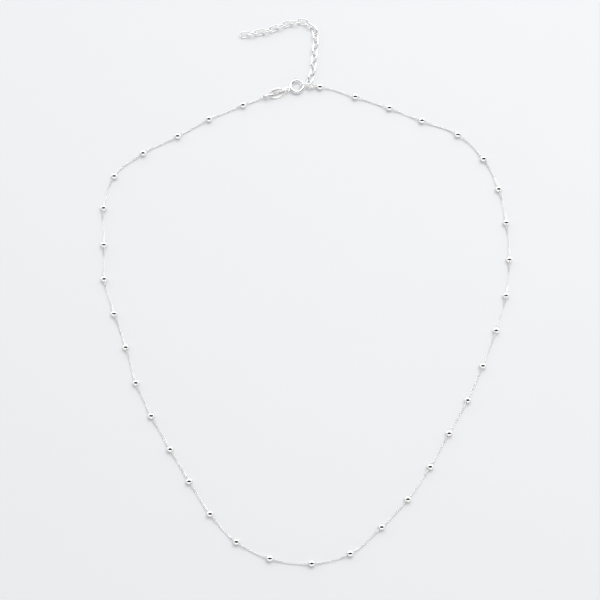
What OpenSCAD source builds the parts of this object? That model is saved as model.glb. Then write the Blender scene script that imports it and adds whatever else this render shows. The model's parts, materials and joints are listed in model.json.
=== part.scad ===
// Ball chain necklace, laid out on a flat surface: a fine chain threaded through
// evenly spaced round beads, closed with a spring ring and an oval tag, and a
// chain of oval links that lengthens it. Millimetres, +Z up, resting on z = 0,
// the origin below the middle of the whole outline.

/* [Beads] */
// Diameter of a bead
bead_d = 2.1; // [1.9:0.05:2.6]
// Distance from one bead to the next, which sets the size of the whole loop
bead_step = 12; // [10:0.5:14]
// Clearance between the chain and a bead's bore, on each side
bead_clearance = 0.1; // [0.05:0.01:0.14]

/* [Chain] */
// Width of the fine chain
chain_d = 0.75; // [0.6:0.05:0.85]
// Outer diameter of the round link at each end of the chain
end_link_d = 1.6; // [1.5:0.05:2]
// Wire of the round end links
end_link_wire = 0.35; // [0.25:0.01:0.4]

/* [Jump rings] */
// Outer diameter of the two jump rings that hold the tag
tag_ring_d = 3; // [2.8:0.05:3.4]
// Outer diameter of the jump ring between the links and the chain
link_ring_d = 2.3; // [2.2:0.05:2.8]
// Wire of the jump rings
ring_wire = 0.45; // [0.35:0.01:0.5]
// How far the tag's jump rings lean from upright, in degrees
ring_lean = 25; // [15:1:35]

/* [Tag] */
// Length of the oval tag
tag_len = 4.9; // [4:0.1:7]
// Width of the oval tag
tag_w = 3.4; // [3.1:0.05:4]
// Thickness of the tag's plate
tag_t = 0.4; // [0.3:0.05:0.5]
// Radius of the oval's narrow ends
tag_end_r = 1.05; // [0.9:0.05:1.3]
// Metal left at each end of the tag's slot
tag_rim = 0.6; // [0.4:0.05:0.8]
// Width of the tag's slot
slot_w = 1; // [0.9:0.05:1.2]
// How far the slot lies off the tag's middle, away from its broad band
slot_shift = 0.3; // [0.2:0.05:0.4]
// Tilt of the tag, its broad band down on the surface, in degrees
tag_tilt = 30; // [20:1:38]

/* [Spring ring] */
// Outer diameter of the spring ring
clasp_d = 5; // [4.6:0.1:7]
// Outer diameter of the ring's tube
tube_d = 0.9; // [0.8:0.02:1]
// Wall of the ring's tube
tube_wall = 0.13; // [0.1:0.01:0.16]
// Where the ring's gap starts, in degrees from the side that holds the links
gap_from = 32; // [28:1:40]
// How much of the ring the gap takes, in degrees
gap_span = 44; // [30:1:50]
// Outer diameter of the eyelet
eyelet_d = 2; // [1.9:0.05:2.4]
// Wire of the eyelet
eyelet_wire = 0.4; // [0.3:0.01:0.45]
// Diameter of the collar that joins the eyelet to the ring
collar_d = 0.6; // [0.4:0.05:0.65]

/* [Bolt] */
// Clearance round the bolt in the tube
bolt_clearance = 0.09; // [0.06:0.01:0.12]
// How far the closed bolt reaches into the tube's far end, in degrees
bolt_seat = 10; // [6:1:12]
// How far the open bolt draws back behind the gap, in degrees
bolt_spare = 2; // [1:1:6]
// Diameter of the knob's stem
stem_d = 0.34; // [0.28:0.01:0.4]
// Diameter of the knob
knob_d = 0.62; // [0.5:0.02:0.8]

/* [Link chain] */
// Outer length of a link
link_len = 3.55; // [3.3:0.05:4]
// Outer width of a link
link_w = 2.4; // [2.3:0.05:2.7]
// Wire of a link
link_wire = 0.45; // [0.35:0.01:0.48]
// Play between pieces that are linked
play = 0.1; // [0.1:0.01:0.15]

/* [Hidden] */
$fn = 48;
BORE_FN = 32;
TUBE_SIDES = 8;
PAST = 1; // how far a cut runs past what it cuts

// Where the beads lie, from the tag round to the links, for beads this far apart
LISTED_STEP = 12;
BEADS_AT = [
    [-18.5, 67], [-29.5, 62], [-39.5, 56], [-50.5, 50], [-59.5, 42], [-62.5, 31],
    [-62, 18.5], [-61.5, 7], [-58, -4.5], [-54, -15.5], [-50.5, -27], [-45.5, -37.5],
    [-39.5, -48], [-33.5, -58], [-27, -68], [-19, -76.5], [-9, -81.5], [3.5, -83],
    [15, -80], [24.5, -72], [32.5, -63.5], [39.5, -53.5], [45.5, -43], [51.5, -32.5],
    [56.5, -21.5], [61, -10], [64.5, 1.5], [66, 13.5], [65.5, 26], [63.5, 37.5],
    [59, 48], [51, 56.5], [39.5, 61.5], [29, 66], [18, 70], [6.5, 73.5]
];
// The way in which the chain leaves the last bead, and the way from the spring
// ring to the tag, in degrees
LAST_WAY = 175;
TAG_WAY = 200;
// What the loose links run through after the first of them, from the spring ring's middle
TAIL = [
    [4.8, 3.9], [5.5, 8.4], [5.9, 13.4], [6.2, 17.6], [5.4, 21],
    [2.4, 23.3], [-3, 22.7], [-9, 20.4], [-19, 18.4]
];

function unit(v) = v / norm(v);
function way(deg) = [cos(deg), sin(deg)];
function up(p, z) = [p[0], p[1], z];
function mid_r(d, wire) = (d - wire) / 2;
// Height of the middle of a ring or link that rests rolled by an angle from flat
function rest_z(d, wire, roll) = mid_r(d, wire) * sin(roll) + wire / 2;

// Curve through points, along the mean heading at each
function leg(pts, i) = pts[i + 1] - pts[i];
function heading(pts, i) =
    i == 0 ? unit(leg(pts, 0))
    : i == len(pts) - 1 ? unit(leg(pts, i - 1))
    : unit(unit(leg(pts, i - 1)) * norm(leg(pts, i)) + unit(leg(pts, i)) * norm(leg(pts, i - 1)));
function between(pts, i, t) =
    let (pull = norm(leg(pts, i)), s = t * t * (3 - 2 * t))
    pts[i] * (1 - s) + pts[i + 1] * s
    + heading(pts, i) * pull * (t * t * t - 2 * t * t + t)
    + heading(pts, i + 1) * pull * (t * t * t - t * t);

// The spring ring lies flat at the height of the hooked link's middle
HOOK_ROLL = 58;
clasp_z = rest_z(link_w, link_wire, HOOK_ROLL);
clasp_r = mid_r(clasp_d, tube_d);
bore_d = tube_d - 2 * tube_wall;
bolt_d = bore_d - 2 * bolt_clearance;
bolt_travel = gap_span + bolt_seat + bolt_spare;
KNOB_OFFSET = 22; // from the gap's end to the knob, degrees along the ring
knob_at = gap_from + gap_span + KNOB_OFFSET;
BOLT_TAIL = 6; // bolt behind the knob, degrees
slot_play = asin(stem_d / clasp_r);

// Along the way to the tag, distances from the ring's middle
eyelet_r = mid_r(eyelet_d, eyelet_wire);
eyelet_at = clasp_d / 2 - tube_wall + eyelet_wire / 2 + eyelet_r;
tag_ring_r = mid_r(tag_ring_d, ring_wire);
near_ring_at = eyelet_at + tag_ring_r;
tag_from = near_ring_at + tag_ring_r - ring_wire / 2 - 4 * play - tag_rim;
tag_at = tag_from + tag_len / 2;
far_ring_at = 2 * tag_at - near_ring_at;
end_link_r = mid_r(end_link_d, end_link_wire);
left_link_at = far_ring_at + tag_ring_r - play / 2;
ring_z = rest_z(tag_ring_d, ring_wire, 90 - ring_lean);
tag_z = (tag_w * sin(tag_tilt) + tag_t * cos(tag_tilt)) / 2;
left_link_z = ring_z - 2 * play;

// To the right of the ring: the hooked link, its jump ring and the chain's end
link_r = mid_r(link_w, link_wire);
link_half = (link_len - link_w) / 2;
hooked_at = clasp_r + link_half;
LINK_RING_ROLL = -45;
link_ring_r = mid_r(link_ring_d, ring_wire);
link_ring_at = hooked_at + link_len / 2 - link_wire - play - ring_wire / 2 + link_ring_r;
right_link_at = link_ring_at + link_ring_r;

// The last bead settles where the ring lies, and the ring all that it holds
BEADS = len(BEADS_AT);
beads_at = BEADS_AT * bead_step / LISTED_STEP;
chain_end = beads_at[BEADS - 1] + (bead_d / 2 + end_link_wire / 2 + 2 * play) * way(LAST_WAY);
clasp_at = chain_end - [right_link_at + end_link_r, 0];
function on_tag_way(d) = clasp_at + d * way(TAG_WAY);
function right_of_ring(d) = clasp_at + [d, 0];

// The fine chain: its middle line passes the beads' middles and sags in between
chain_start = on_tag_way(left_link_at + end_link_r);
ROUTE = concat([chain_start], beads_at, [chain_end]);
LAST = len(ROUTE) - 1;
BOTTOM = 18; // the bead inside which the chain's two halves meet
function route_z(i) = i == 0 ? left_link_z : i == LAST ? clasp_z : bead_d / 2;
function bead_stop(i) = [up(ROUTE[i], route_z(i)), heading(ROUTE, i)];
function sag(i) = [
    up(between(ROUTE, i, 0.5), chain_d / 2),
    unit(between(ROUTE, i, 0.6) - between(ROUTE, i, 0.4))
];
SPLIT = 0.1; // the hidden gap between the two halves

// The bore leaves room for the chain's bend between the bead's middle and its mouth
bead_mouth = sqrt(pow(bead_d / 2, 2) - pow(chain_d / 2 + bead_clearance, 2));
function bend(from, to, along) =
    let (run = abs((to - from) * along))
    bead_mouth * sqrt(max(0, (to - from) * (to - from) - run * run)) / run;
bend_room = max([
    for (i = [1 : LAST - 2], side = [i - 1, i])
        bend(bead_stop(i)[0], sag(side)[0], up(bead_stop(i)[1], 0))
]);
bead_bore = chain_d + 2 * (bead_clearance + bend_room);

// The loose links: the first hangs on the hooked link's upper side
LOOSE_ROLL = 45;
HOOK_ANGLE = 60;
FIRST_WAY = 75;
FIRST_DIP = 20;
pitch = link_len - 2 * link_wire - 2 * play;
hooked = up(right_of_ring(hooked_at), clasp_z);
first_dir = [cos(FIRST_DIP) * cos(FIRST_WAY), cos(FIRST_DIP) * sin(FIRST_WAY), -sin(FIRST_DIP)];
first_link = hooked
    + [link_half + link_r * cos(HOOK_ANGLE), 0, 0]
    + link_r * sin(HOOK_ANGLE) * [0, cos(HOOK_ROLL), sin(HOOK_ROLL)]
    + first_dir * (pitch - link_half - link_r + play / 2);
first_step = pitch * (1 + cos(FIRST_DIP)) / 2;
TAIL_ROUTE = concat([[first_link[0], first_link[1]]], [for (p = TAIL) clasp_at + p]);
STEPS = 12;
tail_path = [
    for (i = [0 : len(TAIL_ROUTE) - 2], k = [0 : STEPS - 1]) between(TAIL_ROUTE, i, k / STEPS),
    TAIL_ROUTE[len(TAIL_ROUTE) - 1]
];
TAIL_END = len(tail_path) - 1;
tail_at = [
    for (
        i = 0, s = 0;
        i <= TAIL_END;
        s = s + norm(tail_path[min(i + 1, TAIL_END)] - tail_path[i]), i = i + 1
    ) s
];
tail_len = tail_at[TAIL_END];
loose_z = rest_z(link_w, link_wire, LOOSE_ROLL);
function tail_point(s) = [
    for (axis = [0, 1]) lookup(s, [for (i = [0 : TAIL_END]) [tail_at[i], tail_path[i][axis]]])
];
loose_count = 2 + floor((tail_len - first_step - link_len / 2) / pitch);

// The whole outline, whose middle is the origin
xs = [for (p = beads_at) p[0]];
ys = [for (p = beads_at) p[1]];
top = max([for (p = tail_path) p[1]]) + loose_z;
centre = [(min(xs) + max(xs)) / 2, (min(ys) - bead_d / 2 + top) / 2, 0];

function bead_name(i) = str("bead_", i < 9 ? "0" : "", i + 1);

// Stands its child at a point, turned to a way, then rolled about that way
module at(p, turn = 0, roll = 0, dip = 0) {
    translate(p - centre) rotate([0, dip, turn]) rotate([roll, 0, 0]) children();
}

module wire_ring(d, wire) {
    rotate_extrude() translate([mid_r(d, wire), 0]) circle(d = wire, $fn = BORE_FN);
}

module oval_link() {
    for (side = [0, 180]) rotate(side) {
        translate([link_half, 0, 0]) rotate(-90) rotate_extrude(angle = 180)
            translate([link_r, 0]) circle(d = link_wire, $fn = BORE_FN);
        translate([-link_half, link_r, 0]) rotate([0, 90, 0])
            cylinder(d = link_wire, h = 2 * link_half, $fn = BORE_FN);
    }
}

// A tube swept along rows of [middle, level heading]
module swept_tube(rows, d) {
    points = [
        for (row = rows, k = [0 : TUBE_SIDES - 1])
            let (a = 360 * (k + 0.5) / TUBE_SIDES, left = [-row[1][1], row[1][0]])
            row[0] + d / 2 * [left[0] * cos(a), left[1] * cos(a), sin(a)]
    ];
    n = len(rows);
    faces = concat(
        [[for (k = [0 : TUBE_SIDES - 1]) k]],
        [
            for (i = [0 : n - 2], k = [0 : TUBE_SIDES - 1])
                let (m = (k + 1) % TUBE_SIDES, a = i * TUBE_SIDES, b = a + TUBE_SIDES)
                [a + m, a + k, b + k, b + m]
        ],
        [[for (k = [TUBE_SIDES - 1 : -1 : 0]) (n - 1) * TUBE_SIDES + k]]
    );
    polyhedron(points, faces);
}

module bead(i) {
    here = bead_stop(i + 1);
    color("silver") at(here[0], atan2(here[1][1], here[1][0])) rotate([0, 90, 0]) difference() {
        sphere(d = bead_d);
        cylinder(d = bead_bore, h = bead_d + PAST, center = true, $fn = BORE_FN);
    }
}

// One half of the chain, with its last link
module chain_half(rows, end_link, turn, roll) {
    color("gainsboro") {
        at([0, 0, 0]) swept_tube(rows, chain_d);
        at(end_link, turn, roll) wire_ring(end_link_d, end_link_wire);
    }
}

module chain_left() {
    bottom = bead_stop(BOTTOM);
    rows = concat(
        [bead_stop(0)],
        [for (i = [1 : BOTTOM - 1], row = [sag(i - 1), bead_stop(i)]) row],
        [sag(BOTTOM - 1), [bottom[0] - up(bottom[1], 0) * SPLIT / 2, bottom[1]]]
    );
    chain_half(rows, up(on_tag_way(left_link_at), left_link_z), TAG_WAY, -ring_lean);
}

module chain_right() {
    bottom = bead_stop(BOTTOM);
    rows = concat(
        [[bottom[0] + up(bottom[1], 0) * SPLIT / 2, bottom[1]], sag(BOTTOM)],
        [for (i = [BOTTOM + 1 : LAST - 2], row = [bead_stop(i), sag(i)]) row],
        [bead_stop(LAST - 1), bead_stop(LAST)]
    );
    chain_half(rows, up(right_of_ring(right_link_at), clasp_z), 0, -LINK_RING_ROLL);
}

module tag_ring(distance) {
    color("silver") at(up(on_tag_way(distance), ring_z), TAG_WAY, 90 - ring_lean)
        wire_ring(tag_ring_d, ring_wire);
}

module tag_ring_left() {
    tag_ring(far_ring_at);
}

module tag_ring_right() {
    tag_ring(near_ring_at);
}

// An oval of four arcs, narrow ends joined by wide sides
module oval_plate(len, w, end_r, h) {
    end_x = len / 2 - end_r;
    side_r = (len * len / 4 + w * w / 4 - len * end_r) / (w - 2 * end_r);
    side_y = side_r - w / 2;
    joint_x = end_x * side_r / (side_r - end_r);
    for (s = [-1, 1]) translate([s * end_x, 0, 0]) cylinder(r = end_r, h = h, center = true);
    intersection() {
        translate([0, side_y, 0]) cylinder(r = side_r, h = h, center = true);
        translate([0, -side_y, 0]) cylinder(r = side_r, h = h, center = true);
        cube([2 * joint_x, w + PAST, h + PAST], center = true);
    }
}

module oval_tag() {
    slot_half = tag_len / 2 - tag_rim - slot_w / 2;
    color("silver") at(up(on_tag_way(tag_at), tag_z), TAG_WAY - 180, tag_tilt) difference() {
        oval_plate(tag_len, tag_w, tag_end_r, tag_t);
        translate([0, slot_shift, 0]) {
            cube([2 * slot_half, slot_w, tag_t + PAST], center = true);
            for (s = [-1, 1]) translate([s * slot_half, 0, 0])
                cylinder(d = slot_w, h = tag_t + PAST, center = true);
        }
    }
}

// Part of a ring of round section, from one angle over a span
module arc_rod(from, span, d) {
    rotate(from) rotate_extrude(angle = span) translate([clasp_r, 0]) circle(d = d, $fn = BORE_FN);
}

module clasp_body() {
    solid_span = 360 - gap_span;
    gap_end = gap_from + gap_span;
    color("silver") at(up(clasp_at, clasp_z)) difference() {
        union() {
            arc_rod(gap_end, solid_span, tube_d);
            rotate(TAG_WAY) {
                translate([eyelet_at, 0, 0]) wire_ring(eyelet_d, eyelet_wire);
                translate([clasp_r, 0, 0]) rotate([0, 90, 0])
                    cylinder(d = collar_d, h = eyelet_at - eyelet_r - clasp_r, $fn = BORE_FN);
            }
        }
        arc_rod(gap_end - PAST, solid_span + 2 * PAST, bore_d);
        rotate(knob_at - slot_play) rotate_extrude(angle = bolt_travel + 2 * slot_play)
            translate([clasp_r, -stem_d / 2 - bolt_clearance])
            square([tube_d, stem_d + 2 * bolt_clearance]);
    }
}

module clasp_bolt() {
    knob_out = clasp_d / 2 + knob_d / 2 + bolt_clearance / 2;
    tip_at = gap_from - bolt_seat;
    color("gainsboro") at(up(clasp_at, clasp_z)) {
        arc_rod(tip_at, knob_at + BOLT_TAIL - tip_at, bolt_d);
        rotate(knob_at) {
            translate([clasp_r, 0, 0]) rotate([0, 90, 0])
                cylinder(d = stem_d, h = knob_out - clasp_r, $fn = BORE_FN);
            translate([knob_out, 0, 0]) sphere(d = knob_d);
        }
    }
}

module link_ring() {
    color("silver") at(up(right_of_ring(link_ring_at), clasp_z), 0, LINK_RING_ROLL)
        wire_ring(link_ring_d, ring_wire);
}

// The hooked link, then the loose ones, each turned a quarter from the last
module link_chain() {
    color("silver") {
        at(hooked, 0, HOOK_ROLL) oval_link();
        at(first_link, FIRST_WAY, -LOOSE_ROLL, FIRST_DIP) oval_link();
        for (k = [1 : loose_count - 1]) {
            s = first_step + (k - 1) * pitch;
            run = tail_point(s + pitch / 2) - tail_point(s - pitch / 2);
            at(up(tail_point(s), loose_z), atan2(run[1], run[0]), (k % 2 == 0 ? -1 : 1) * LOOSE_ROLL)
                oval_link();
        }
    }
}

for (i = [0 : BEADS - 1]) bead(i);
chain_left();
chain_right();
tag_ring_left();
oval_tag();
tag_ring_right();
clasp_body();
clasp_bolt();
link_ring();
link_chain();
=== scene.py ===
"""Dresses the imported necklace: hollow silver beads on a fine cable chain, oval links, jump
rings, an oval tag and a spring ring, on a pale surface in soft light."""

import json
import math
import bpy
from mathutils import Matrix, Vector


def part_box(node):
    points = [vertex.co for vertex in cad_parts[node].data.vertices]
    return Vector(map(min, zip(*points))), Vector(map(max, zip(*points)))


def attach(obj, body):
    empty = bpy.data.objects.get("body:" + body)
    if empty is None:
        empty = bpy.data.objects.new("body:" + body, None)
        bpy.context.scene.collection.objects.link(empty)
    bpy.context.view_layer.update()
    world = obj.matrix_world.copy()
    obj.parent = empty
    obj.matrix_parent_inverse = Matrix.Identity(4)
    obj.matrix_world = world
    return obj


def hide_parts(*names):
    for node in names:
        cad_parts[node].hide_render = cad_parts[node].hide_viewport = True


bl_info = {
    "name": "Ball chain necklace",
    "version": (1, 0, 0),
    "blender": (4, 5, 0),
    "location": "View3D > Sidebar > Necklace",
    "description": "Builds the visible pieces of a ball chain necklace round its packed solids",
    "category": "Mesh",
}

import bmesh
import bpy
import numpy as np
from bpy.props import FloatProperty, FloatVectorProperty, IntProperty, PointerProperty
from mathutils import Matrix, Vector

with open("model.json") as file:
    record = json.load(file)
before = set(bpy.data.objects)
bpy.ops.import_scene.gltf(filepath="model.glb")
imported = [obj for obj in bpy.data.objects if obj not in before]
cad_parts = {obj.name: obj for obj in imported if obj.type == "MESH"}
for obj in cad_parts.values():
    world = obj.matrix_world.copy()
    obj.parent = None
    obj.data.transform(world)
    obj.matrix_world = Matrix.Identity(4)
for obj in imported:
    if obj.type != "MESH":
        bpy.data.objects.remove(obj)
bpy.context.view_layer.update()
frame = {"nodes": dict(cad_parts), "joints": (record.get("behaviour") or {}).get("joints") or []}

MM = 0.001
BODY = "necklace"
BOLT_BODY = "bolt"
BEADS = sorted(name for name in frame["nodes"] if name.startswith("bead_"))
BEAD_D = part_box(BEADS[0])[1].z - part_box(BEADS[0])[0].z
RING_MIDDLE = frame["joints"][0]["pos_m"]
UP = (0, 0, 1)

# Points of a solid nearer to each other than this are one point.
SAME_POINT = 1e-8
# Slack for comparing two angles, in radians.
NEARLY = 1e-6

# The groove of a closed joint, in half widths of it: where the wire gets more points on
# each side of the joint, and how far out the groove fades.
SEAM_STOPS = np.array([0.45, 0.9, 1.4, 2.2])
SEAM_FADE = 0.6

# The tag's crown brings the sides down by this share of its height, and the middle up by
# the rest.
CROWN_DIP = 0.1

# The room that the metal shows: its brightness at each share of the half turn from the far
# wall (0) over the ceiling (0.5) to the near wall (1). The dark strip of ceiling draws the
# bar on each bead.
ROOM_BANDS = (
    (0.0, 0.25),
    (0.07, 0.3),
    (0.16, 1.0),
    (0.365, 1.0),
    (0.42, 0.012),
    (0.815, 0.012),
    (0.87, 0.65),
    (1.0, 0.45),
)


def size(name, description, millimetres):
    """A length that a user may change, given in millimetres."""
    return FloatProperty(
        name=name,
        description=description,
        default=millimetres * MM,
        min=0.0,
        precision=5,
        subtype="DISTANCE",
        unit="LENGTH",
    )


def angle(name, description, degrees):
    """An angle that a user may change, given in degrees."""
    return FloatProperty(
        name=name,
        description=description,
        default=math.radians(degrees),
        subtype="ANGLE",
        unit="ROTATION",
    )


def strength(name, description, value):
    """The strength of a light that a user may change."""
    return FloatProperty(name=name, description=description, default=value, min=0, precision=3)


def place(name, description, millimetres):
    """A place in the row frame that a user may change, given in millimetres."""
    return FloatVectorProperty(
        name=name,
        description=description,
        default=[value * MM for value in millimetres],
        size=3,
        precision=5,
        subtype="XYZ",
        unit="LENGTH",
    )


def linear(hex_colour):
    """An sRGB hex colour as linear red, green and blue."""
    channels = [int(hex_colour[i : i + 2], 16) / 255 for i in (1, 3, 5)]
    return [c / 12.92 if c <= 0.04045 else ((c + 0.055) / 1.055) ** 2.4 for c in channels]


def colour(name, description, hex_colour):
    """A colour that a user may change, given as sRGB hex."""
    return FloatVectorProperty(
        name=name,
        description=description,
        default=linear(hex_colour),
        size=3,
        min=0.0,
        max=1.0,
        subtype="COLOR",
    )


class BeadSizes(bpy.types.PropertyGroup):
    """Sizes of the hollow beads."""

    wall: size("Wall", "Thickness of the bead's sheet", 0.16)
    hole: size("Hole", "Diameter of the hole between its rolled lips", 1.02)
    segments: IntProperty(name="Segments", description="Sides round the bead", default=40, min=12)


class FineChainSizes(bpy.types.PropertyGroup):
    """Sizes of the fine cable chain and where its round end links lie."""

    link_len: size("Link length", "Outer length of a link", 0.78)
    link_w: size("Link width", "Outer width of a link", 0.64)
    wire: size("Wire", "Diameter of the links' wire", 0.17)
    play: size("Play", "Slack between two links along the chain", 0.02)
    lean: angle("Lean", "How far the links lean to each side by turns", 45)
    sway: angle("Sway", "How far the lean sways along the chain", 8)
    jitter: angle("Jitter", "How far the lean of each link is off by chance", 3)
    end_link_d: size("End link", "Outer diameter of the round end links", 1.6)
    end_link_wire: size("End link wire", "Wire of the round end links", 0.35)
    left_end: place("Left end", "Middle of the left end link", (-12.984, 62.9015, 1.18054))
    left_way: angle("Left way", "Way in which the chain leaves its left end", 200)
    left_roll: angle("Left roll", "How the left end link leans", -25)
    right_end: place("Right end", "Middle of the right end link", (2.70542, 66.6193, 1.05185))
    right_roll: angle("Right roll", "How the right end link leans", 45)
    rest: size("Rest height", "Height of the chain's middle line where it lies on the surface", 0.3)
    fall: size("Fall", "How far from a bead the chain comes down to the surface", 3.2)


class WireSizes(bpy.types.PropertyGroup):
    """Sizes of the oval links and the jump rings."""

    link_len: size("Link length", "Outer length of an oval link", 3.55)
    link_w: size("Link width", "Outer width of an oval link", 2.4)
    link_wire: size("Link wire", "Wire of the oval links", 0.45)
    tag_ring_d: size("Tag rings", "Outer diameter of the tag's jump rings", 3.0)
    link_ring_d: size("Link ring", "Outer diameter of the jump ring at the links", 2.3)
    ring_wire: size("Ring wire", "Wire of the jump rings", 0.45)
    seam: size("Seam", "Half width of the closed joint in a ring or link", 0.035)
    seam_depth: size("Seam depth", "How deep the closed joint is", 0.03)


class TagSizes(bpy.types.PropertyGroup):
    """Sizes of the oval tag."""

    length: size("Length", "Length of the tag", 4.9)
    width: size("Width", "Width of the tag", 3.4)
    thickness: size("Thickness", "Thickness of the tag's plate", 0.4)
    end_radius: size("End radius", "Radius of the narrow ends", 1.05)
    rim: size("Rim", "Metal left at each end of the slot", 0.6)
    slot_w: size("Slot width", "Width of the slot", 1.0)
    slot_shift: size("Slot shift", "How far the slot lies off the middle", 0.3)
    edge: size("Edge", "Radius that buffing leaves on the edges", 0.09)
    crown: size("Crown", "How far the plate's middle rises above its sides", 0.45)


class ClaspSizes(bpy.types.PropertyGroup):
    """Sizes of the spring ring and its bolt."""

    middle: FloatVectorProperty(
        name="Middle",
        description="Middle of the ring, on the bolt's axis",
        default=RING_MIDDLE,
        size=3,
        subtype="XYZ",
        unit="LENGTH",
    )
    outer_d: size("Ring", "Outer diameter of the ring", 5.0)
    tube_d: size("Tube", "Outer diameter of the tube", 0.9)
    wall: size("Wall", "Wall of the tube", 0.13)
    gap_from: angle("Gap start", "Where the ring's gap starts", 32)
    gap_span: angle("Gap", "How much of the ring the gap takes", 44)
    eyelet_way: angle("Eyelet", "Side of the ring that the eyelet is on", 200)
    eyelet_d: size("Eyelet diameter", "Outer diameter of the eyelet", 2.0)
    eyelet_wire: size("Eyelet wire", "Wire of the eyelet", 0.4)
    collar_d: size("Collar", "Diameter of the collar under the eyelet", 0.6)
    clearance: size("Clearance", "Room round the bolt", 0.09)
    bolt_seat: angle("Seat", "How far the closed bolt reaches past the gap", 10)
    bolt_travel: angle("Travel", "How far the bolt draws back", 56)
    bolt_tail: angle("Tail", "Bolt behind the knob", 6)
    knob_offset: angle("Knob", "From the gap's end to the knob", 22)
    stem_d: size("Stem", "Diameter of the knob's stem", 0.34)
    knob_d: size("Knob diameter", "Diameter of the knob", 0.62)


class Finishes(bpy.types.PropertyGroup):
    """Colours of the metals and of the surface."""

    silver: colour("Silver", "Polished silver", "#f4f3f1")
    wire: colour("Wire", "Drawn silver wire", "#f2f1f0")
    steel: colour("Bolt", "Hardened bolt", "#dededf")
    table: colour("Surface", "Pale surface under the necklace", "#707172")


class StageSettings(bpy.types.PropertyGroup):
    """Camera and light."""

    look_at: place("Look at", "Place on the surface that the camera looks at", (-1.75, -6.705, 0))
    elevation: angle("Elevation", "Camera's angle above the surface", 71)
    distance: size("Distance", "From the camera to that place", 570)
    lens: FloatProperty(
        name="Lens",
        description="Focal length of the camera",
        default=109.1,
        min=1,
        subtype="DISTANCE_CAMERA",
    )
    room: strength("Room light", "Strength of the light from all round", 2.9)
    glow: strength("Glow", "Strength of the light under the surface", 2.0)
    overhead: strength("Overhead lamp", "Power of the lamp overhead in watts", 30)
    overhead_w: size("Overhead width", "Diameter of the lamp overhead", 900)
    overhead_at: place("Overhead place", "Middle of the lamp overhead", (200, 300, 1000))
    by_camera: strength("Lamp by the camera", "Power of the lamp by the camera in watts", 0.008)
    by_camera_w: size("By camera width", "Diameter of the lamp by the camera", 260)
    by_camera_at: place("By camera place", "Middle of the lamp by the camera", (0, -270, 790))
    surface: size("Surface", "Half the width of the surface", 4000)
    drop: size("Drop", "How far the surface lies below level zero", 0.005)


class NecklaceSettings(bpy.types.PropertyGroup):
    """Everything that a user may change."""

    beads: PointerProperty(type=BeadSizes)
    chain: PointerProperty(type=FineChainSizes)
    wires: PointerProperty(type=WireSizes)
    tag: PointerProperty(type=TagSizes)
    clasp: PointerProperty(type=ClaspSizes)
    finishes: PointerProperty(type=Finishes)
    stage: PointerProperty(type=StageSettings)


def settings():
    """The scene's values for the necklace."""
    return bpy.context.scene.necklace


class Shape:
    """Points and faces gathered for one piece, in metres."""

    def __init__(self):
        self.points = []
        self.faces = []
        self.count = 0

    def add(self, points, faces):
        """Takes in points, and faces that count from the first of them."""
        self.points.append(points)
        self.faces.extend([tuple(self.count + i for i in face) for face in faces])
        self.count += len(points)
        return self

    def mesh(self, name):
        """Everything that was added, as one mesh."""
        made = bpy.data.meshes.new(name)
        made.from_pydata(np.concatenate(self.points).tolist(), [], self.faces)
        made.validate()
        return made


def unit(vectors):
    """Vectors brought to length one."""
    vectors = np.asarray(vectors, float)
    return vectors / np.linalg.norm(vectors, axis=-1, keepdims=True)


def levelled(vector):
    """The level way that a vector points, as a vector of length one."""
    return unit(vector * (1, 1, 0))


def lattice(rings, sides, closed):
    """Faces between rings of points, each joined to the next, outward for a tube."""
    faces = []
    for i in range(rings if closed else rings - 1):
        near = i * sides
        far = (i + 1) % rings * sides
        for k in range(sides):
            m = (k + 1) % sides
            faces.append((near + k, near + m, far + m, far + k))
    return faces


def swept(line, across, radii, sides, closed=True):
    """Round wire along a line of points; `across` gives a side of it at each point."""
    line = np.asarray(line, float)
    if closed:
        ahead = unit(np.roll(line, -1, 0) - np.roll(line, 1, 0))
    else:
        ahead = unit(np.gradient(line, axis=0))
    across = np.broadcast_to(np.asarray(across, float), line.shape)
    across = unit(across - ahead * np.sum(across * ahead, 1, keepdims=True))
    third = np.cross(ahead, across)
    turn = 2 * math.pi * np.arange(sides) / sides
    spokes = across[:, None] * np.cos(turn)[:, None] + third[:, None] * np.sin(turn)[:, None]
    radii = np.broadcast_to(np.asarray(radii, float), len(line))
    points = (line[:, None] + spokes * radii[:, None, None]).reshape(-1, 3)
    faces = lattice(len(line), sides, closed)
    if not closed:
        faces.append(tuple(range(sides - 1, -1, -1)))
        faces.append(tuple((len(line) - 1) * sides + k for k in range(sides)))
    return points, faces


def spun(profile, sides):
    """A closed profile of (along, out) turned once round the X axis."""
    profile = np.asarray(profile, float)
    turn = 2 * math.pi * np.arange(sides) / sides
    points = np.stack(
        [
            np.broadcast_to(profile[:, 0, None], (len(profile), sides)),
            profile[:, 1, None] * np.cos(turn),
            profile[:, 1, None] * np.sin(turn),
        ],
        axis=-1,
    )
    return points.reshape(-1, 3), lattice(len(profile), sides, closed=True)


def arc(middle, radius, start, end, steps):
    """Points (along, out) on part of a circle, angles from the along axis."""
    turn = np.linspace(start, end, steps)
    return [(middle[0] + radius * math.cos(a), middle[1] + radius * math.sin(a)) for a in turn]


def oval_at(way_round, half, radius):
    """Point on an oval's middle line; a ring is an oval with no straight sides."""
    bend = math.pi * radius
    s = way_round
    if s < half:
        return (s, -radius, 0)
    s -= half
    if s < bend:
        return (half + radius * math.sin(s / radius), -radius * math.cos(s / radius), 0)
    s -= bend
    if s < 2 * half:
        return (half - s, radius, 0)
    s -= 2 * half
    if s < bend:
        return (-half - radius * math.sin(s / radius), radius * math.cos(s / radius), 0)
    s -= bend
    return (s - half, -radius, 0)


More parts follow.
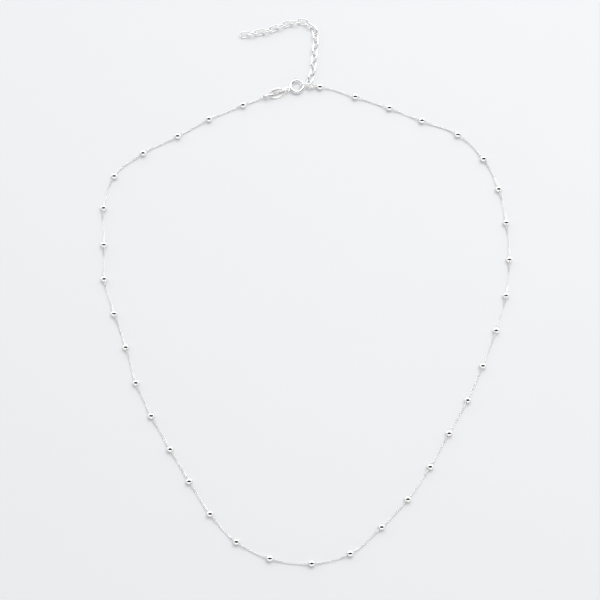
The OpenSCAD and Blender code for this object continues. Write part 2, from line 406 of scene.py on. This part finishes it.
def closed_wire(length, width, wire, seam, depth, steps=40, sides=14):
    """An oval of wire bent round and closed, with the fine groove of its joint."""
    radius = (width - wire) / 2
    half = (length - width) / 2
    around = 4 * half + 2 * math.pi * radius
    near_seam = SEAM_STOPS * seam
    even = np.linspace(0, around, steps, endpoint=False)[1:]
    stops = np.sort(np.concatenate([[0], even, near_seam, around - near_seam]))
    line = [oval_at(s, half, radius) for s in stops]
    from_seam = np.minimum(stops, around - stops)
    radii = wire / 2 - depth * np.exp(-((from_seam / (SEAM_FADE * seam)) ** 2))
    return swept(line, UP, radii, sides)


def turned(points, rotation, middle):
    """Points turned by the columns of a 3x3 rotation, then moved."""
    return np.asarray(points) @ np.asarray(rotation).T + np.asarray(middle)


def rolled(way, roll):
    """Rotation that turns X to a level way, then rolls about it."""
    return np.array(Matrix.Rotation(way, 3, "Z") @ Matrix.Rotation(roll, 3, "X"))


def lies(corners):
    """Middle of a solid's box, and the ways of its least, middle and widest spread, from
    its triangles' corners, each triangle counted by its area."""
    middle = (corners.min((0, 1)) + corners.max((0, 1))) / 2
    sides = corners[:, 1:] - corners[:, :1]
    area = np.linalg.norm(np.cross(sides[:, 0], sides[:, 1]), axis=1)
    centroid = (corners.mean(1) * area[:, None]).sum(0) / area.sum()
    apart = corners - centroid
    total = apart.sum(1)
    spread = np.einsum("t,tij,tik->jk", area, apart, apart)
    spread += np.einsum("t,tj,tk->jk", area, total, total)
    return middle, np.linalg.eigh(spread)[1].T


def solids_of(node):
    """Triangle corners of each separate solid of a CAD node, as it lies."""
    work = bmesh.new()
    work.from_mesh(frame["nodes"][node].data)
    bmesh.ops.remove_doubles(work, verts=work.verts, dist=SAME_POINT)
    bmesh.ops.triangulate(work, faces=work.faces)
    left = set(work.faces)
    found = []
    while left:
        group = [left.pop()]
        for face in group:
            for edge in face.edges:
                for other in edge.link_faces:
                    if other in left:
                        left.remove(other)
                        group.append(other)
        found.append(np.array([[tuple(v.co) for v in face.verts] for face in group]))
    work.free()
    return sorted(found, key=lambda corners: tuple(np.round(corners.min((0, 1)), decimals=6)))


def evaluated_mesh(obj, name):
    """The object's mesh with its modifiers made real; the object itself is removed."""
    graph = bpy.context.evaluated_depsgraph_get()
    made = bpy.data.meshes.new_from_object(obj.evaluated_get(graph))
    made.name = name
    bpy.data.objects.remove(obj)
    return made


def loose_object(name, mesh):
    """A new object in the scene that rides on no body yet."""
    obj = bpy.data.objects.new(name, mesh)
    bpy.context.scene.collection.objects.link(obj)
    return obj


def fused(name, meshes):
    """One mesh of several closed ones, soldered into a single skin."""
    base = loose_object(name, meshes[0])
    for i, mesh in enumerate(meshes[1:]):
        other = loose_object(f"{name}_{i}", mesh)
        union = base.modifiers.new("solder", "BOOLEAN")
        union.operation = "UNION"
        union.solver = "EXACT"
        union.object = other
        joined = evaluated_mesh(base, name)
        bpy.data.objects.remove(other)
        base = loose_object(name, joined)
    made = base.data
    bpy.data.objects.remove(base)
    return made


def add_piece(name, mesh, finish, body, slot, *stands_for, crease=None):
    """Puts a mesh into the scene as a piece that rides on a body."""
    mesh.shade_smooth()
    if crease is not None:
        mesh.set_sharp_from_angle(angle=math.radians(crease))
    mesh.materials.clear()
    mesh.materials.append(finish)
    obj = loose_object(name, mesh)
    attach(obj, body)
    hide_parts(*stands_for)
    return obj


def add_node(tree, kind, options=None, values=None, links=None):
    """Adds a shader node, sets its options and socket values, and links its inputs."""
    made = tree.nodes.new(kind)
    for option, value in (options or {}).items():
        setattr(made, option, value)
    for socket, value in (values or {}).items():
        made.inputs[socket].default_value = value
    for socket, output in (links or {}).items():
        tree.links.new(output, made.inputs[socket])
    return made


def metal(name, base, smooth, dull, grain, depth, stretch=(1, 1, 1)):
    """A metal whose polish varies over `grain` metres, with marks `depth` metres deep."""
    made = bpy.data.materials.get(name)
    if made:
        return made
    made = bpy.data.materials.new(name)
    made.use_nodes = True
    tree = made.node_tree
    tree.nodes.clear()
    where = add_node(tree, "ShaderNodeTexCoord")
    laid = add_node(
        tree,
        "ShaderNodeMapping",
        values={"Scale": stretch},
        links={"Vector": where.outputs["Object"]},
    )
    marks = add_node(
        tree,
        "ShaderNodeTexNoise",
        values={"Scale": 1 / grain, "Detail": 3.0, "Roughness": 0.6},
        links={"Vector": laid.outputs["Vector"]},
    )
    polish = add_node(
        tree,
        "ShaderNodeMapRange",
        values={"From Min": 0.35, "From Max": 0.65, "To Min": smooth, "To Max": dull},
        links={"Value": marks.outputs["Fac"]},
    )
    relief = add_node(
        tree,
        "ShaderNodeBump",
        values={"Strength": 1.0, "Distance": depth},
        links={"Height": marks.outputs["Fac"]},
    )
    shader = add_node(
        tree,
        "ShaderNodeBsdfPrincipled",
        values={"Base Color": (*base, 1), "Metallic": 1.0},
        links={"Roughness": polish.outputs["Result"], "Normal": relief.outputs["Normal"]},
    )
    add_node(tree, "ShaderNodeOutputMaterial", links={"Surface": shader.outputs["BSDF"]})
    return made


def tumbled_ball_silver():
    # Silver balls pressed from sheet and tumbled with steel shot: a near mirror that shows
    # the whole room, softened a little by shot marks about 0.25 mm apart.
    return metal(
        "tumbled_silver_ball",
        settings().finishes.silver,
        smooth=0.07,
        dull=0.16,
        grain=0.25 * MM,
        depth=0.0006 * MM,
    )


def chain_wire_silver():
    # Silver wire of about 0.2 mm, bent and soldered by machine: the powder solder leaves it
    # duller than the balls. Real marks are under 0.05 mm; drawn at 0.3 mm so that they show.
    return metal(
        "machine_soldered_silver_wire",
        settings().finishes.wire,
        smooth=0.18,
        dull=0.32,
        grain=0.3 * MM,
        depth=0.0006 * MM,
    )


def drawn_wire_silver():
    # Drawn silver wire for links and rings, bent by hand and polished in a barrel: bright
    # with faint draw marks. The marks are drawn 0.2 mm apart, coarser than the real ones.
    return metal(
        "drawn_silver_wire",
        settings().finishes.wire,
        smooth=0.09,
        dull=0.2,
        grain=0.2 * MM,
        depth=0.0006 * MM,
    )


def stamped_sheet_silver():
    # Rolled silver sheet, stamped out and satin buffed along its length: a pale, soft
    # sheen, with lines of the buff about 0.12 mm apart that stretch its highlights.
    return metal(
        "stamped_silver_sheet",
        settings().finishes.silver,
        smooth=0.38,
        dull=0.48,
        grain=0.12 * MM,
        depth=0.0008 * MM,
        stretch=(0.15, 1, 1),
    )


def rolled_tube_silver():
    # Thin silver tube rolled from strip and bent to a ring: polished, with soft ripples
    # from the bending about 0.5 mm apart.
    return metal(
        "rolled_silver_tube",
        settings().finishes.silver,
        smooth=0.08,
        dull=0.18,
        grain=0.5 * MM,
        depth=0.002 * MM,
    )


def hard_wire_steel():
    # Hard drawn spring wire for the bolt, a shade greyer than silver and worn by sliding.
    return metal(
        "hard_drawn_bolt_wire",
        settings().finishes.steel,
        smooth=0.12,
        dull=0.28,
        grain=0.2 * MM,
        depth=0.0008 * MM,
    )


class NECKLACE_OT_stage(bpy.types.Operator):
    """Camera, soft light and the pale surface that the necklace lies on"""

    bl_idname = "necklace.stage"
    bl_label = "Stage"

    def execute(self, context):
        stage = settings().stage
        self.add_camera(context, stage)
        self.add_surface(stage)
        self.add_room(context, stage)
        # a large soft lamp overhead, a little behind and to the right, lights the surface from
        # above; the metal shows the room instead
        overhead = self.add_lamp(
            "overhead", stage.overhead_at, stage.look_at, stage.overhead_w, stage.overhead
        )
        overhead.visible_glossy = False
        # a faint lamp over the camera lightens the middle of the dark bar on each bead
        self.add_lamp(
            "by_camera", stage.by_camera_at, stage.look_at, stage.by_camera_w, stage.by_camera
        )
        return {"FINISHED"}

    def add_camera(self, context, stage):
        data = bpy.data.cameras.new("camera")
        data.lens = stage.lens
        camera = bpy.data.objects.new("camera", data)
        context.scene.collection.objects.link(camera)
        back = Vector((0, -math.cos(stage.elevation), math.sin(stage.elevation)))
        camera.location = Vector(stage.look_at) + back * stage.distance
        camera.rotation_mode = "QUATERNION"
        camera.rotation_quaternion = (-back).to_track_quat("-Z", "Y")
        context.scene.camera = camera
        context.scene.view_settings.view_transform = "Standard"

    def add_surface(self, stage):
        half = stage.surface
        corners = [(-half, -half, 0), (half, -half, 0), (half, half, 0), (-half, half, 0)]
        mesh = bpy.data.meshes.new("surface")
        mesh.from_pydata(corners, [], [(0, 1, 2, 3)])
        mesh.materials.append(self.opal_sheet(stage))
        surface = loose_object("surface", mesh)
        surface.location.z = -stage.drop

    def opal_sheet(self, stage):
        # Cast opal acrylic with a matt face, lit from below like a light table: pale and
        # even, with weak shadows and a faint mottle in its sheen 30 mm wide.
        made = bpy.data.materials.new("matt_cast_opal_acrylic")
        made.use_nodes = True
        tree = made.node_tree
        tree.nodes.clear()
        where = add_node(tree, "ShaderNodeTexCoord")
        mottle = add_node(
            tree,
            "ShaderNodeTexNoise",
            values={"Scale": 1 / (30 * MM), "Detail": 2.0},
            links={"Vector": where.outputs["Object"]},
        )
        sheen = add_node(
            tree,
            "ShaderNodeMapRange",
            values={"To Min": 0.5, "To Max": 0.6},
            links={"Value": mottle.outputs["Fac"]},
        )
        shader = add_node(
            tree,
            "ShaderNodeBsdfPrincipled",
            values={
                "Base Color": (*settings().finishes.table, 1),
                "Specular IOR Level": 0.3,
                "Emission Color": (*settings().finishes.table, 1),
                "Emission Strength": stage.glow,
            },
            links={"Roughness": sheen.outputs["Result"]},
        )
        add_node(tree, "ShaderNodeOutputMaterial", links={"Surface": shader.outputs["BSDF"]})
        return made

    def add_room(self, context, stage):
        """A pale room with a dark strip of ceiling that ends short of the side walls."""
        world = bpy.data.worlds.new("studio")
        context.scene.world = world
        world.use_nodes = True
        tree = world.node_tree
        tree.nodes.clear()
        where = add_node(tree, "ShaderNodeTexCoord")
        split = add_node(
            tree, "ShaderNodeSeparateXYZ", links={"Vector": where.outputs["Generated"]}
        )
        overhead = add_node(
            tree,
            "ShaderNodeMath",
            {"operation": "ARCTAN2"},
            links={0: split.outputs["Z"], 1: split.outputs["Y"]},
        )
        share = add_node(
            tree,
            "ShaderNodeMath",
            {"operation": "DIVIDE"},
            values={1: math.pi},
            links={0: overhead.outputs["Value"]},
        )
        bands = add_node(tree, "ShaderNodeValToRGB", links={"Fac": share.outputs["Value"]})
        ramp = bands.color_ramp
        ramp.interpolation = "EASE"
        for position, _ in ROOM_BANDS[1:-1]:
            ramp.elements.new(position)
        for element, (_, level) in zip(ramp.elements, ROOM_BANDS):
            element.color = (level, level, level, 1)
        sideways = add_node(
            tree, "ShaderNodeMath", {"operation": "ABSOLUTE"}, links={0: split.outputs["X"]}
        )
        # the side walls, where a direction runs nearly along X
        walls = add_node(
            tree,
            "ShaderNodeMapRange",
            {"interpolation_type": "SMOOTHSTEP"},
            values={"From Min": 0.965, "From Max": 1.0, "To Max": 0.7},
            links={"Value": sideways.outputs["Value"]},
        )
        level = add_node(
            tree,
            "ShaderNodeMath",
            {"operation": "MAXIMUM"},
            links={0: bands.outputs["Color"], 1: walls.outputs["Result"]},
        )
        light = add_node(
            tree,
            "ShaderNodeBackground",
            values={"Strength": stage.room},
            links={"Color": level.outputs["Value"]},
        )
        add_node(tree, "ShaderNodeOutputWorld", links={"Surface": light.outputs["Background"]})

    def add_lamp(self, name, location, target, width, power):
        """A round lamp that faces a target and that the camera doesn't see."""
        data = bpy.data.lights.new(name, "AREA")
        data.shape = "DISK"
        data.size = width
        data.energy = power
        lamp = bpy.data.objects.new(name, data)
        bpy.context.scene.collection.objects.link(lamp)
        lamp.location = location
        towards = Vector(target) - Vector(location)
        lamp.rotation_euler = towards.to_track_quat("-Z", "Y").to_euler()
        lamp.visible_camera = False
        return lamp


class NECKLACE_OT_beads(bpy.types.Operator):
    """Hollow beads with rolled lips, one for each drilled solid"""

    bl_idname = "necklace.beads"
    bl_label = "Beads"

    def execute(self, context):
        beads = settings().beads
        profile = self.shell(beads)
        for name in BEADS:
            middle, axes = lies(solids_of(name)[0])
            side = np.cross(UP, axes[0])
            rotation = np.stack([axes[0], unit(side), unit(np.cross(axes[0], side))], axis=1)
            points, faces = spun(profile, beads.segments)
            mesh = Shape().add(turned(points, rotation, middle), faces).mesh(f"ball_{name[-2:]}")
            add_piece(mesh.name, mesh, tumbled_ball_silver(), BODY, "beads", name)
        return {"FINISHED"}

    def shell(self, beads):
        """Section of a hollow ball whose rim is rolled round at both holes."""
        outer = BEAD_D / 2
        lip = beads.wall / 2
        rim_at = outer - lip
        start = math.asin((beads.hole / 2 + lip) / rim_at)
        end = math.pi - start
        right = (rim_at * math.cos(start), rim_at * math.sin(start))
        left = (-right[0], right[1])
        centre = (0, 0)
        return (
            arc(centre, outer, start, end, steps=22)
            + arc(left, lip, end, end + math.pi, steps=7)[1:-1]
            + arc(centre, outer - beads.wall, end, start, steps=14)
            + arc(right, lip, start + math.pi, start + 2 * math.pi, steps=7)[1:-1]
        )


class NECKLACE_OT_fine_chain(bpy.types.Operator):
    """Cable chain of small oval links through the beads, with its round end links"""

    bl_idname = "necklace.fine_chain"
    bl_label = "Fine chain"

    def execute(self, context):
        chain = settings().chain
        line = self.route(chain)
        along = np.concatenate([[0], np.cumsum(np.linalg.norm(np.diff(line, axis=0), axis=1))])
        reach = (chain.link_len - chain.wire) / 2
        # the first and last links sit round the wire of the end links
        inset = reach - chain.wire / 2 - chain.end_link_wire / 2 - chain.play
        pitch = chain.link_len - 2 * chain.wire - chain.play
        count = round((along[-1] - 2 * inset) / pitch) + 1
        places = np.linspace(inset, along[-1] - inset, count)
        middle = self.bottom(line, along)
        link_points, link_faces = self.link(chain)
        # the lean sways in three waves along the chain, out of step with each other
        waves = (3.1 * MM, 7.3 * MM, 17.0 * MM)
        draw = np.random.default_rng(seed=11)
        phases = draw.uniform(0, 2 * math.pi, len(waves))
        halves = {"left": Shape(), "right": Shape()}
        for i, s in enumerate(places):
            here, before, after = (
                np.array([np.interp(at, along, line[:, axis]) for axis in range(3)])
                for at in (s, s - reach, s + reach)
            )
            sway = sum(math.sin(s / wave + phase) for wave, phase in zip(waves, phases))
            lean = chain.lean if i % 2 else chain.lean - math.pi / 2
            roll = lean + chain.sway * sway + draw.uniform(-chain.jitter, chain.jitter)
            rotation = self.facing(after - before, roll)
            half = halves["left" if s < middle else "right"]
            half.add(turned(link_points, rotation, here), link_faces)
        ends = {
            "left": (chain.left_end, rolled(chain.left_way, chain.left_roll)),
            "right": (chain.right_end, rolled(0, chain.right_roll)),
        }
        wires = settings().wires
        end_points, end_faces = closed_wire(
            chain.end_link_d,
            chain.end_link_d,
            chain.end_link_wire,
            wires.seam,
            wires.seam_depth,
            steps=32,
            sides=12,
        )
        for side, shape in halves.items():
            where, rotation = ends[side]
            shape.add(turned(end_points, rotation, where), end_faces)
            mesh = shape.mesh(f"cable_chain_{side}")
            add_piece(mesh.name, mesh, chain_wire_silver(), BODY, "fine_chain", f"chain_{side}")
        return {"FINISHED"}

    def route(self, chain):
        """Middle line of the chain: straight through each bead, down to the surface between."""
        ring = (chain.end_link_d - chain.end_link_wire) / 2
        left_way = np.array([math.cos(chain.left_way), math.sin(chain.left_way), 0])
        start = np.array(chain.left_end) + ring * left_way
        end = np.array(chain.right_end) + (ring, 0, 0)
        stops = []
        for name in BEADS:
            middle, axes = lies(solids_of(name)[0])
            stops.append((middle, levelled(axes[0])))
        middles = [start] + [middle for middle, _ in stops] + [end]
        rows = [(start, levelled(middles[1] - start), 0.0)]
        for i, (middle, way) in enumerate(stops):
            if np.dot(way, middles[i + 2] - middles[i]) < 0:
                way = -way
            rows.append((middle, way, BEAD_D / 2))
        rows.append((end, levelled(end - middles[-2]), 0.0))
        line = []
        for (a, way_a, half_a), (b, way_b, half_b) in zip(rows, rows[1:]):
            a, b = a + way_a * half_a, b - way_b * half_b
            if half_a:
                line.append(a - way_a * half_a)
            line.extend(self.span(a, way_a, b, way_b, chain))
        return np.array(line + [end])

    def span(self, a, way_a, b, way_b, chain):
        """Chain from one bead to the next: a curve on the surface, higher at both ends."""
        reach = np.linalg.norm(b - a)
        fall = min(chain.fall, reach / 2)
        points = []
        for t in np.linspace(0, 1, num=48, endpoint=False):
            s = t * t * (3 - 2 * t)
            bend = way_a * (t**3 - 2 * t * t + t) + way_b * (t**3 - t * t)
            point = a * (1 - s) + b * s + reach * bend
            rise = 0
            for height, away in ((a[2], t * reach / fall), (b[2], (1 - t) * reach / fall)):
                if away < 1:
                    rise += (height - chain.rest) * (1 - away) ** 2 * (1 + 2 * away)
            point[2] = chain.rest + rise
            points.append(point)
        return points

    def bottom(self, line, along):
        """How far along the chain its two halves meet, inside the bead at the bottom."""
        low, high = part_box("chain_left")[1].x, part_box("chain_right")[0].x
        # the bottom bead lies among this many foremost points of the line
        foremost = 40
        front = np.argsort(line[:, 1])[:foremost]
        return along[front[np.argmin(np.abs(line[front, 0] - (low + high) / 2))]]

    def link(self, chain):
        """One small link: an oval of wire."""
        radius = (chain.link_w - chain.wire) / 2
        half = (chain.link_len - chain.link_w) / 2
        around = 4 * half + 2 * math.pi * radius
        stops = np.linspace(0, around, num=16, endpoint=False)
        line = [oval_at(s, half, radius) for s in stops]
        return swept(line, UP, chain.wire / 2, sides=8)

    def facing(self, ahead, roll):
        """Rotation that turns X ahead and rolls about it."""
        ahead = unit(ahead)
        side = unit(np.cross(UP, ahead))
        top = np.cross(ahead, side)
        across = side * math.cos(roll) + top * math.sin(roll)
        return np.stack([ahead, across, top * math.cos(roll) - side * math.sin(roll)], axis=1)


class NECKLACE_OT_link_chain(bpy.types.Operator):
    """Oval links, each bent from wire and closed, where the solids lie"""

    bl_idname = "necklace.link_chain"
    bl_label = "Oval links"

    def execute(self, context):
        wires = settings().wires
        shape = Shape()
        points, faces = closed_wire(
            wires.link_len, wires.link_w, wires.link_wire, wires.seam, wires.seam_depth
        )
        for i, corners in enumerate(solids_of("link_chain")):
            middle, axes = lies(corners)
            # every other link has its joint at the other side
            flip = -1 if i % 2 else 1
            long_way = axes[2] * flip
            wide_way = np.cross(axes[0], axes[2]) * flip
            rotation = np.stack([long_way, wide_way, axes[0]], axis=1)
            shape.add(turned(points, rotation, middle), faces)
        mesh = shape.mesh("oval_links")
        add_piece(mesh.name, mesh, drawn_wire_silver(), BODY, "links", "link_chain")
        return {"FINISHED"}


class NECKLACE_OT_jump_rings(bpy.types.Operator):
    """The three jump rings"""

    bl_idname = "necklace.jump_rings"
    bl_label = "Jump rings"

    def execute(self, context):
        wires = settings().wires
        for node, across in (
            ("tag_ring_left", wires.tag_ring_d),
            ("tag_ring_right", wires.tag_ring_d),
            ("link_ring", wires.link_ring_d),
        ):
            middle, axes = lies(solids_of(node)[0])
            level = unit(np.cross(UP, axes[0]))
            rotation = np.stack([level, np.cross(axes[0], level), axes[0]], axis=1)
            points, faces = closed_wire(
                across, across, wires.ring_wire, wires.seam, wires.seam_depth
            )
            mesh = Shape().add(turned(points, rotation, middle), faces).mesh(f"jump_{node}")
            add_piece(mesh.name, mesh, drawn_wire_silver(), BODY, "rings", node)
        return {"FINISHED"}


class NECKLACE_OT_oval_tag(bpy.types.Operator):
    """The stamped oval tag with its slot, its edges rounded by the buff"""

    bl_idname = "necklace.oval_tag"
    bl_label = "Oval tag"

    def execute(self, context):
        tag = settings().tag
        middle, axes = lies(solids_of("oval_tag")[0])
        long_way = axes[2] if axes[2][0] > 0 else -axes[2]
        face_way = axes[0] if axes[0][2] > 0 else -axes[0]
        rotation = np.stack([long_way, np.cross(face_way, long_way), face_way], axis=1)
        turn = np.linspace(0, 2 * math.pi, num=96, endpoint=False)
        slot_half = tag.length / 2 - tag.rim - tag.slot_w / 2
        outer = np.array([self.oval_edge(tag, a) for a in turn])
        inner = np.array([self.slot_edge(tag, slot_half, a) for a in turn])
        rings = []
        for outline, inward, angles in ((outer, -1, (-90, 90)), (inner, 1, (90, -90))):
            ahead = unit(np.roll(outline, -1, 0) - np.roll(outline, 1, 0))
            out = np.stack([ahead[:, 1], -ahead[:, 0]], axis=1)
            for a in np.radians(np.linspace(*angles, num=9)):
                flat = outline + out * inward * tag.edge * (1 - math.cos(a))
                height = math.copysign(tag.thickness / 2 - tag.edge, a) if abs(a) > NEARLY else 0
                level = np.full((len(flat), 1), height + tag.edge * math.sin(a))
                rings.append(np.hstack([flat, level]))
        points = np.concatenate(rings)
        points[:, 2] += tag.crown * (1 - CROWN_DIP - (2 * points[:, 1] / tag.width) ** 2)
        faces = lattice(len(rings), len(turn), closed=True)
        mesh = Shape().add(turned(points, rotation, middle), faces).mesh("stamped_tag")
        add_piece(mesh.name, mesh, stamped_sheet_silver(), BODY, "tag", "oval_tag", crease=60)
        return {"FINISHED"}

    def oval_edge(self, tag, a):
        """Point of the oval's edge, seen from the slot's middle at an angle."""
        low, high = 0.0, tag.length
        way = np.array([math.cos(a), math.sin(a)])
        start = np.array([0, tag.slot_shift])
        halvings = 40
        for _ in range(halvings):
            mid = (low + high) / 2
            if self.inside_oval(tag, start + way * mid):
                low = mid
            else:
                high = mid
        return start + way * low

    def inside_oval(self, tag, point):
        """Whether a point lies in the oval, whose sides and ends are parts of circles."""
        end_x = tag.length / 2 - tag.end_radius
        wide = tag.width / 2
        side_r = (end_x**2 + wide**2 - tag.end_radius**2) / (2 * (wide - tag.end_radius))
        side_y = side_r - wide
        joint_x = end_x * side_r / (side_r - tag.end_radius)
        x, y = abs(point[0]), abs(point[1])
        if x > joint_x:
            return math.hypot(x - end_x, y) < tag.end_radius
        return math.hypot(x, y + side_y) < side_r

    def slot_edge(self, tag, half, a):
        """Point of the slot's edge at an angle from its middle."""
        radius = tag.slot_w / 2
        x, y = math.cos(a), math.sin(a)
        if abs(x) * radius <= abs(y) * half:
            reach = radius / abs(y)
        else:
            middle = math.copysign(half, x)
            along = middle * x
            reach = along + math.sqrt(max(0, along * along - half * half + radius * radius))
        return np.array([x * reach, y * reach + tag.slot_shift])


class NECKLACE_OT_clasp_body(bpy.types.Operator):
    """The spring ring's rolled tube, its slot, collar and eyelet"""

    bl_idname = "necklace.clasp_body"
    bl_label = "Spring ring"

    def execute(self, context):
        clasp = settings().clasp
        ring = (clasp.outer_d - clasp.tube_d) / 2
        eyelet = (clasp.eyelet_d - clasp.eyelet_wire) / 2
        eyelet_at = clasp.outer_d / 2 - clasp.wall + clasp.eyelet_wire / 2 + eyelet
        out = np.array([math.cos(clasp.eyelet_way), math.sin(clasp.eyelet_way), 0])
        # the eyelet's joint is soldered flush, so it has no depth
        points, faces = closed_wire(
            clasp.eyelet_d,
            clasp.eyelet_d,
            clasp.eyelet_wire,
            seam=0.03 * MM,
            depth=0,
            steps=44,
            sides=18,
        )
        eyelet_mesh = Shape().add(points + out * eyelet_at, faces).mesh("eyelet")
        # the collar starts a little inside the tube's skin and flares at both ends
        sunk = 0.02 * MM
        flare = 0.05 * MM
        start = ring + math.sqrt((clasp.tube_d / 2) ** 2 - (clasp.collar_d / 2) ** 2) - sunk
        end = eyelet_at - eyelet
        spots = [out * s for s in np.linspace(start, end, num=8)]
        radii = clasp.collar_d / 2 + flare * np.linspace(-1, 1, num=len(spots)) ** 4
        collar = swept(spots, UP, radii, sides=24, closed=False)
        collar_mesh = Shape().add(*collar).mesh("collar")
        mesh = fused("spring_ring_body", [self.tube(clasp, ring), collar_mesh, eyelet_mesh])
        mesh.transform(Matrix.Translation(Vector(clasp.middle)))
        finish = rolled_tube_silver()
        add_piece("spring_ring_body", mesh, finish, BODY, "clasp", "clasp_body", crease=40)
        return {"FINISHED"}

    def tube(self, clasp, ring):
        """The hollow tube round the ring, cut open along the knob's slot."""
        gap_end = clasp.gap_from + clasp.gap_span
        knob_at = gap_end + clasp.knob_offset
        room = math.asin(clasp.stem_d / ring)
        slot = (knob_at - room, knob_at + clasp.bolt_travel + room)
        tube_end = gap_end + 2 * math.pi - clasp.gap_span
        around = np.unique(
            np.concatenate(
                [
                    np.linspace(gap_end, slot[0], num=5),
                    np.linspace(*slot, num=18),
                    np.linspace(slot[1], tube_end, num=60),
                ]
            )
        )
        radius = clasp.tube_d / 2
        lip = math.asin((clasp.stem_d / 2 + clasp.clearance) / radius)
        slot_sides = 4
        outer = np.linspace(-lip, lip, num=slot_sides + 1)
        sides = np.concatenate([outer, np.linspace(lip, 2 * math.pi - lip, num=24)[1:-1]])
        points = [
            (
                (ring + radius * math.cos(v)) * math.cos(u),
                (ring + radius * math.cos(v)) * math.sin(u),
                radius * math.sin(v),
            )
            for u in around
            for v in sides
        ]
        faces = []
        for i in range(len(around) - 1):
            cut = slot[0] - NEARLY < around[i] and around[i + 1] < slot[1] + NEARLY
            for k in range(len(sides)):
                if cut and k < slot_sides:
                    continue
                m = (k + 1) % len(sides)
                a, b = i * len(sides), (i + 1) * len(sides)
                faces.append((a + k, b + k, b + m, a + m))
        mesh = bpy.data.meshes.new("tube")
        mesh.from_pydata(points, [], faces)
        obj = loose_object("tube", mesh)
        thick = obj.modifiers.new("wall", "SOLIDIFY")
        thick.thickness = clasp.wall
        thick.offset = -1
        return evaluated_mesh(obj, "tube")


class NECKLACE_OT_clasp_bolt(bpy.types.Operator):
    """The bolt that slides in the tube, with its stem and knob"""

    bl_idname = "necklace.clasp_bolt"
    bl_label = "Bolt"

    def execute(self, context):
        clasp = settings().clasp
        ring = (clasp.outer_d - clasp.tube_d) / 2
        bolt_r = clasp.tube_d / 2 - clasp.wall - clasp.clearance
        knob_at = clasp.gap_from + clasp.gap_span + clasp.knob_offset
        turns = np.linspace(clasp.gap_from - clasp.bolt_seat, knob_at + clasp.bolt_tail, num=40)
        line = np.stack([ring * np.cos(turns), ring * np.sin(turns), 0 * turns], axis=1)
        # the tip is rounded over its first steps, from a flat with this share of the width
        tip_steps = 4
        tip_share = 0.8
        ease = np.minimum(1, np.arange(len(line)) / tip_steps)
        radii = bolt_r * (tip_share + (1 - tip_share) * np.sqrt(1 - (1 - ease) ** 2))
        rod = swept(line, UP, radii, sides=20, closed=False)
        knob_r = clasp.knob_d / 2
        knob_out = clasp.outer_d / 2 + knob_r + clasp.clearance / 2
        out = np.array([math.cos(knob_at), math.sin(knob_at), 0])
        stem_line = [out * s for s in np.linspace(ring, knob_out, num=6)]
        stem = swept(stem_line, UP, clasp.stem_d / 2, sides=16, closed=False)
        # the knob is a ball with a tiny flat at each pole, this many radians wide
        pole = 0.02
        tilt = np.linspace(pole, math.pi - pole, num=15)
        knob_line = [out * s for s in knob_out - knob_r * np.cos(tilt)]
        knob = swept(knob_line, UP, knob_r * np.sin(tilt), sides=20, closed=False)
        parts = [Shape().add(*part).mesh("bolt_part") for part in (rod, stem, knob)]
        mesh = fused("bolt_and_knob", parts)
        mesh.transform(Matrix.Translation(Vector(clasp.middle)))
        finish = hard_wire_steel()
        add_piece("bolt_and_knob", mesh, finish, BOLT_BODY, "clasp_bolt", "clasp_bolt", crease=40)
        return {"FINISHED"}


class NECKLACE_PT_panel(bpy.types.Panel):
    """Lists the pieces of the necklace"""

    bl_label = "Necklace"
    bl_idname = "NECKLACE_PT_panel"
    bl_space_type = "VIEW_3D"
    bl_region_type = "UI"
    bl_category = "Necklace"

    def draw(self, context):
        for operator in OPERATORS:
            self.layout.operator(operator.bl_idname)


GROUPS = (
    BeadSizes,
    FineChainSizes,
    WireSizes,
    TagSizes,
    ClaspSizes,
    Finishes,
    StageSettings,
    NecklaceSettings,
)
OPERATORS = (
    NECKLACE_OT_stage,
    NECKLACE_OT_beads,
    NECKLACE_OT_fine_chain,
    NECKLACE_OT_link_chain,
    NECKLACE_OT_jump_rings,
    NECKLACE_OT_oval_tag,
    NECKLACE_OT_clasp_body,
    NECKLACE_OT_clasp_bolt,
)


def register():
    for group in GROUPS + OPERATORS + (NECKLACE_PT_panel,):
        bpy.utils.register_class(group)
    bpy.types.Scene.necklace = PointerProperty(type=NecklaceSettings)


def unregister():
    del bpy.types.Scene.necklace
    for group in reversed(GROUPS + OPERATORS + (NECKLACE_PT_panel,)):
        bpy.utils.unregister_class(group)


def main():
    register()
    bpy.ops.necklace.stage()
    bpy.ops.necklace.beads()
    bpy.ops.necklace.fine_chain()
    bpy.ops.necklace.link_chain()
    bpy.ops.necklace.jump_rings()
    bpy.ops.necklace.oval_tag()
    bpy.ops.necklace.clasp_body()
    bpy.ops.necklace.clasp_bolt()


if __name__ == "__main__":
    main()
